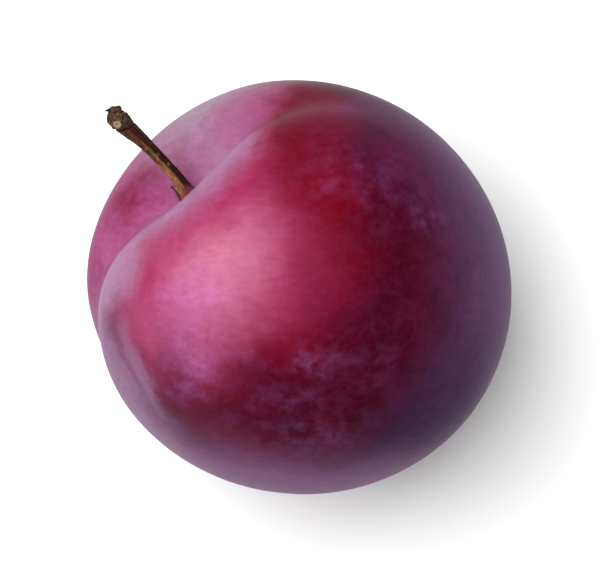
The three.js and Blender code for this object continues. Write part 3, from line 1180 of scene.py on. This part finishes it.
def make_skin(shape, look):
    """Ripe plum skin: taut and satin, crimson to maroon, under a thin pale film of wax."""
    # Taut skin would shine, but its powdery wax scatters the light: the gloss is broad and
    # faint, and where the wax lies thick the colour turns paler, bluer and duller.
    material, tree, shader = start_material("Waxy plum skin")

    metres = add_node(tree, "ShaderNodeTexCoord").outputs["Object"]
    place = add_node(tree, VECTOR, metres, Vector(shape.middle), operation="SUBTRACT")
    place = add_node(tree, VECTOR, place, named={"Scale": 1 / MM}, operation="SCALE")
    ragged = wander(tree, place, *RAGGED_EDGES)
    ragged = wander(tree, ragged, *RAGGED_FINELY)
    radius = shape.cheek_radius / MM

    # the colour also carries painted light: a pink highlight on the lit side, pale sheen round
    # the girth and the lip, and painted shade on the far side
    pigment_and_painted_light = skin_pigment_and_painted_light(tree, look, place, ragged, radius)
    wax = skin_wax(tree, look, place, ragged, radius)
    film = add_node(tree, VECTOR, look.wax_colour, named={"Scale": wax}, operation="SCALE")
    filmed = add_node(tree, VECTOR, film, pigment_and_painted_light, operation="ADD")
    streaks = add_node(tree, "ShaderNodeMapping", place, None, None, STREAKS)
    grain = add_node(
        tree, NOISE, named={"Vector": streaks, "Scale": 1.0, "Detail": 4, "Roughness": 0.6}
    )
    shade = add_node(tree, MAP_RANGE, grain, 0.3, 0.7, 0.9, 1.1)
    colour = add_node(tree, VECTOR, filmed, named={"Scale": shade}, operation="SCALE")

    roughness = add_node(tree, MAP_RANGE, wax, 0.0, 0.4, 0.42, 0.56)
    bump = add_node(tree, "ShaderNodeBump", named={"Height": grain, "Distance": GRAIN_HEIGHT})
    tree.links.new(colour.outputs[0], shader.inputs["Base Color"])
    tree.links.new(roughness.outputs[0], shader.inputs["Roughness"])
    tree.links.new(bump.outputs[0], shader.inputs["Normal"])
    shader.inputs["Specular IOR Level"].default_value = 0.03
    shader.inputs["Sheen Weight"].default_value = 0.015
    shader.inputs["Specular Tint"].default_value = (*linear(GLOSS_TINT), 1)
    shader.inputs["Sheen Roughness"].default_value = 0.5
    shader.inputs["Sheen Tint"].default_value = (*linear(SHEEN_TINT), 1)
    return material


# ------------------------------------------------------------------ bark

# near-black: dark bark on the knob, neck line and scales, and painted shade down the shaft's side
# away from the light
DARK_BARK_AND_SHADE = "200c0a"
LICHEN = "7c6a4c"
RUST = "44181a"
KNOB = "503a2e"
CORK = "6e5640"
CREAM = "8a745c"
FOOT_PINK_AND_REFLECTED_LIGHT = "8a4454"

BARK_HEIGHT = 0.12 * MM  # how far the fine grain stands out


def stalk_place(tree, name):
    """A place kept on the stalk's mesh, in mm."""
    kept = add_node(tree, "ShaderNodeAttribute", attribute_name=name).outputs["Vector"]
    return add_node(tree, VECTOR, kept, named={"Scale": 1 / MM}, operation="SCALE")


def bark_grain(tree, place, width, stretch):
    """Noise whose grains are so many mm wide and drawn out along the stalk."""
    scale = (1 / width, 1 / width, 1 / (width * stretch))
    drawn = add_node(tree, "ShaderNodeMapping", place, None, None, scale)
    return add_node(
        tree, NOISE, named={"Vector": drawn, "Scale": 1.0, "Detail": 5, "Roughness": 0.65}
    )


def tint(tree, colour, value, start, end, hex_colour, cover):
    """Lays a colour over another where a value runs from a start to an end, up to a cover."""
    share = add_node(tree, MAP_RANGE, value, start, end, 0.0, 1.0, **SMOOTH)
    amount = add_node(tree, MATH, share, cover, operation="MULTIPLY")
    return add_node(tree, MIX, amount, colour, (*linear(hex_colour), 1), data_type="RGBA")


def shaft_colour(tree, look, streaks, patches, along, aside):
    """Streaked tan with lichen, painted shade down one side, rust towards the neck and a pink
    foot, partly painted light thrown back by the fruit.
    """
    streaked = add_node(tree, MAP_RANGE, streaks, 0.44, 0.58, 0.0, 1.0, **SMOOTH)
    light, dark = (*look.light_streaks, 1), (*look.dark_streaks, 1)
    colour = add_node(tree, MIX, streaked, light, dark, data_type="RGBA")
    colour = tint(tree, colour, patches, 0.52, 0.66, LICHEN, 0.6)
    # darker down the side away from the light: painted shade
    shaded = add_node(tree, MATH, streaks, 1.0, aside, operation="MULTIPLY_ADD")
    colour = tint(tree, colour, shaded, 0.62, 0.34, DARK_BARK_AND_SHADE, 0.95)
    # darker and redder towards the neck: partly the neck's own colour, partly leaving the lower
    # shaft lighter as painted light thrown up from the pink fruit
    colour = tint(tree, colour, along, 8.0, 12.5, RUST, 0.8)
    # pink at the foot: partly its own colour, partly painted light thrown back by the pink fruit
    foot = add_node(tree, MATH, patches, -3.0, along, operation="MULTIPLY_ADD")
    return tint(tree, colour, foot, 1.2, -0.6, FOOT_PINK_AND_REFLECTED_LIGHT, 0.7)


def make_bark(shape, look):
    """Dry bark: streaked tan with painted shade down one side, rusty at the neck, rough and dull
    on the knob.
    """
    # Dried fibres don't shine: the light only picks out fine bright and dark lines along the
    # shaft, and cracks and flecks of cork on the knob.
    material, tree, shader = start_material("Dry ribbed bark")

    place = stalk_place(tree, "stalk_place")
    arm = add_node(tree, VECTOR, place, stalk_place(tree, "centre"), operation="SUBTRACT")
    along = add_node(tree, "ShaderNodeSeparateXYZ", place).outputs["Z"]
    aside = add_node(tree, "ShaderNodeSeparateXYZ", arm).outputs["X"]
    streaks = bark_grain(tree, place, 0.4, 7)
    fine = bark_grain(tree, place, 0.22, 5)
    patches = bark_grain(tree, place, 0.9, 2)
    cracks = bark_grain(tree, place, 0.35, 1)
    colour = shaft_colour(tree, look, streaks, patches, along, aside)

    # the knob above the tilted neck line, darker low down, with dark cracks: partly dark bark,
    # partly painted shade where the bump sinks
    neck = shape.neck_height / MM
    climb = add_node(tree, MATH, aside, shape.neck_tilt, operation="MULTIPLY")
    over_neck = add_node(tree, MATH, along, climb, operation="SUBTRACT")
    on_knob = add_node(tree, MAP_RANGE, over_neck, neck, neck + 0.5, 0.0, 1.0, **SMOOTH)
    colour = tint(tree, colour, over_neck, neck - 0.05, neck + 0.25, KNOB, 1.0)
    colour = tint(tree, colour, along, 14.8, 13.4, DARK_BARK_AND_SHADE, 0.45)
    crack_cover = add_node(tree, MATH, on_knob, 0.8, operation="MULTIPLY")
    colour = tint(tree, colour, cracks, 0.55, 0.42, DARK_BARK_AND_SHADE, crack_cover)
    off_line = add_node(tree, MATH, over_neck, neck, operation="SUBTRACT")
    off_line = add_node(tree, MATH, off_line, operation="ABSOLUTE")
    colour = tint(tree, colour, off_line, 0.28, 0.06, DARK_BARK_AND_SHADE, 0.9)

    # corky warts, the ragged leaf scar with its dark pith, and the sooty scales
    wart = add_node(tree, "ShaderNodeAttribute", attribute_name="wart").outputs["Fac"]
    cork_cover = add_node(tree, MATH, wart, 0.8, operation="MULTIPLY")
    colour = tint(tree, colour, fine, 0.35, 0.6, CORK, cork_cover)
    scar = add_node(tree, "ShaderNodeAttribute", attribute_name="scar").outputs["Fac"]
    ragged_scar = add_node(tree, MATH, cracks, 1.4, scar, operation="MULTIPLY_ADD")
    colour = tint(tree, colour, ragged_scar, 1.75, 1.5, CREAM, 0.9)
    colour = tint(tree, colour, ragged_scar, 1.15, 0.9, KNOB, 0.8)
    colour = tint(tree, colour, scar, FAR_FROM_SCAR / 2, FAR_FROM_SCAR, DARK_BARK_AND_SHADE, 0.7)
    shade = add_node(tree, MAP_RANGE, fine, 0.3, 0.7, 0.45, 1.55)
    colour = add_node(tree, VECTOR, colour, named={"Scale": shade}, operation="SCALE")

    roughness = add_node(tree, MAP_RANGE, streaks, 0.3, 0.7, 0.55, 0.85)
    height = add_node(tree, MATH, cracks, on_knob, fine, operation="MULTIPLY_ADD")
    bump = add_node(tree, "ShaderNodeBump", named={"Height": height, "Distance": BARK_HEIGHT})
    tree.links.new(colour.outputs[0], shader.inputs["Base Color"])
    tree.links.new(roughness.outputs[0], shader.inputs["Roughness"])
    tree.links.new(bump.outputs[0], shader.inputs["Normal"])
    shader.inputs["Specular IOR Level"].default_value = 0.08
    return material


# ------------------------------------------------------------------ stage


def make_floor(look):
    """A plain floor of matt white paper, which takes a soft shadow and shows no gloss."""
    half = look.floor_side / 2
    corners = [(-half, -half, 0), (half, -half, 0), (half, half, 0), (-half, half, 0)]
    mesh = bpy.data.meshes.new("floor")
    mesh.from_pydata(corners, [], [(0, 1, 2, 3)])
    floor = bpy.data.objects.new("floor", mesh)
    bpy.context.scene.collection.objects.link(floor)
    material, _, shader = start_material("Matt white paper")
    shader.inputs["Base Color"].default_value = (*look.floor_colour, 1)
    shader.inputs["Roughness"].default_value = 0.9
    shader.inputs["Specular IOR Level"].default_value = 0.1
    mesh.materials.append(material)


def make_light(look, middle):
    """A white room and one large soft light."""
    world = bpy.data.worlds.new("White room")
    world.use_nodes = True
    sky = world.node_tree.nodes["Background"]
    sky.inputs["Color"].default_value = (1, 1, 1, 1)
    sky.inputs["Strength"].default_value = look.room_strength
    bpy.context.scene.world = world
    light = bpy.data.lights.new("key", "AREA")
    light.shape = "SQUARE"
    light.size = look.key_side
    light.energy = look.key_power
    key = bpy.data.objects.new("key", light)
    flat = math.cos(look.key_rise)
    towards = Vector(
        (
            flat * math.cos(look.key_bearing),
            flat * math.sin(look.key_bearing),
            math.sin(look.key_rise),
        )
    )
    key.location = middle + towards * look.key_distance
    key.rotation_euler = towards.to_track_quat("Z", "Y").to_euler()
    key.visible_camera = False
    bpy.context.scene.collection.objects.link(key)


def make_camera(look, middle):
    """A camera that looks straight down."""
    data = bpy.data.cameras.new("camera")
    data.lens = look.focal_length
    data.sensor_fit = "HORIZONTAL"
    camera = bpy.data.objects.new("camera", data)
    camera.location = middle + Vector((*look.camera_aside, look.camera_height))
    bpy.context.scene.collection.objects.link(camera)
    bpy.context.scene.camera = camera


# ------------------------------------------------------------------ operators


class PLUM_OT_stage(Operator):
    """Makes the floor, the light and the camera"""

    bl_idname = "plum.make_stage"
    bl_label = "Make stage"

    def execute(self, context):
        look = context.scene.plum_stage
        middle = Vector(context.scene.plum_fruit.middle)
        make_floor(look)
        make_light(look, middle)
        make_camera(look, middle)
        context.scene.view_settings.view_transform = "Standard"
        return {"FINISHED"}


class PLUM_OT_fruit(Operator):
    """Makes the fruit with its skin"""

    bl_idname = "plum.make_fruit"
    bl_label = "Make fruit"

    def execute(self, context):
        settings = context.scene.plum_fruit
        skin = make_skin(settings, context.scene.plum_skin)
        mesh = bpy.data.meshes.new("fruit_seed")
        fruit = grow("plum_fruit", mesh, build_fruit_tree(settings), settings, skin)
        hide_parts("fruit")
        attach(fruit, BODY)
        return {"FINISHED"}


class PLUM_OT_stalk(Operator):
    """Makes the stalk with its knob, scales and torn sliver"""

    bl_idname = "plum.make_stalk"
    bl_label = "Make stalk"

    def execute(self, context):
        fruit = context.scene.plum_fruit
        settings = context.scene.plum_stalk
        hollow_floor = Vector((fruit.hollow_shift_x, fruit.hollow_shift_y, fruit.suture_radius))
        hollow_floor *= (fruit.stalk_end - fruit.hollow_depth) / fruit.suture_radius
        settings.middle = Vector(fruit.middle) + laid(fruit) @ hollow_floor
        bark = make_bark(settings, context.scene.plum_bark)
        stalk = grow("plum_stalk", stalk_plan(), build_stalk_tree(settings), settings, bark)
        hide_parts("stem")
        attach(stalk, BODY)
        return {"FINISHED"}


class PLUM_PT_pieces(Panel):
    """Lists the operators in the 3D view's sidebar"""

    bl_label = "Plum"
    bl_space_type = "VIEW_3D"
    bl_region_type = "UI"
    bl_category = "Plum"

    def draw(self, context):
        self.layout.operator(PLUM_OT_stage.bl_idname)
        self.layout.operator(PLUM_OT_fruit.bl_idname)
        self.layout.operator(PLUM_OT_stalk.bl_idname)


CLASSES = (
    FruitShape,
    StalkShape,
    SkinLook,
    BarkLook,
    StageLook,
    PLUM_OT_stage,
    PLUM_OT_fruit,
    PLUM_OT_stalk,
    PLUM_PT_pieces,
)


def register():
    """Registers the classes and hangs the settings on the scene."""
    for cls in CLASSES:
        bpy.utils.register_class(cls)
    bpy.types.Scene.plum_fruit = PointerProperty(type=FruitShape)
    bpy.types.Scene.plum_stalk = PointerProperty(type=StalkShape)
    bpy.types.Scene.plum_skin = PointerProperty(type=SkinLook)
    bpy.types.Scene.plum_bark = PointerProperty(type=BarkLook)
    bpy.types.Scene.plum_stage = PointerProperty(type=StageLook)


def unregister():
    """Takes the settings and the classes away again."""
    del bpy.types.Scene.plum_stage
    del bpy.types.Scene.plum_bark
    del bpy.types.Scene.plum_skin
    del bpy.types.Scene.plum_stalk
    del bpy.types.Scene.plum_fruit
    for cls in reversed(CLASSES):
        bpy.utils.unregister_class(cls)


def main():
    """Makes the stage and both pieces."""
    register()
    bpy.ops.plum.make_stage()
    bpy.ops.plum.make_fruit()
    bpy.ops.plum.make_stalk()


if __name__ == "__main__":
    main()
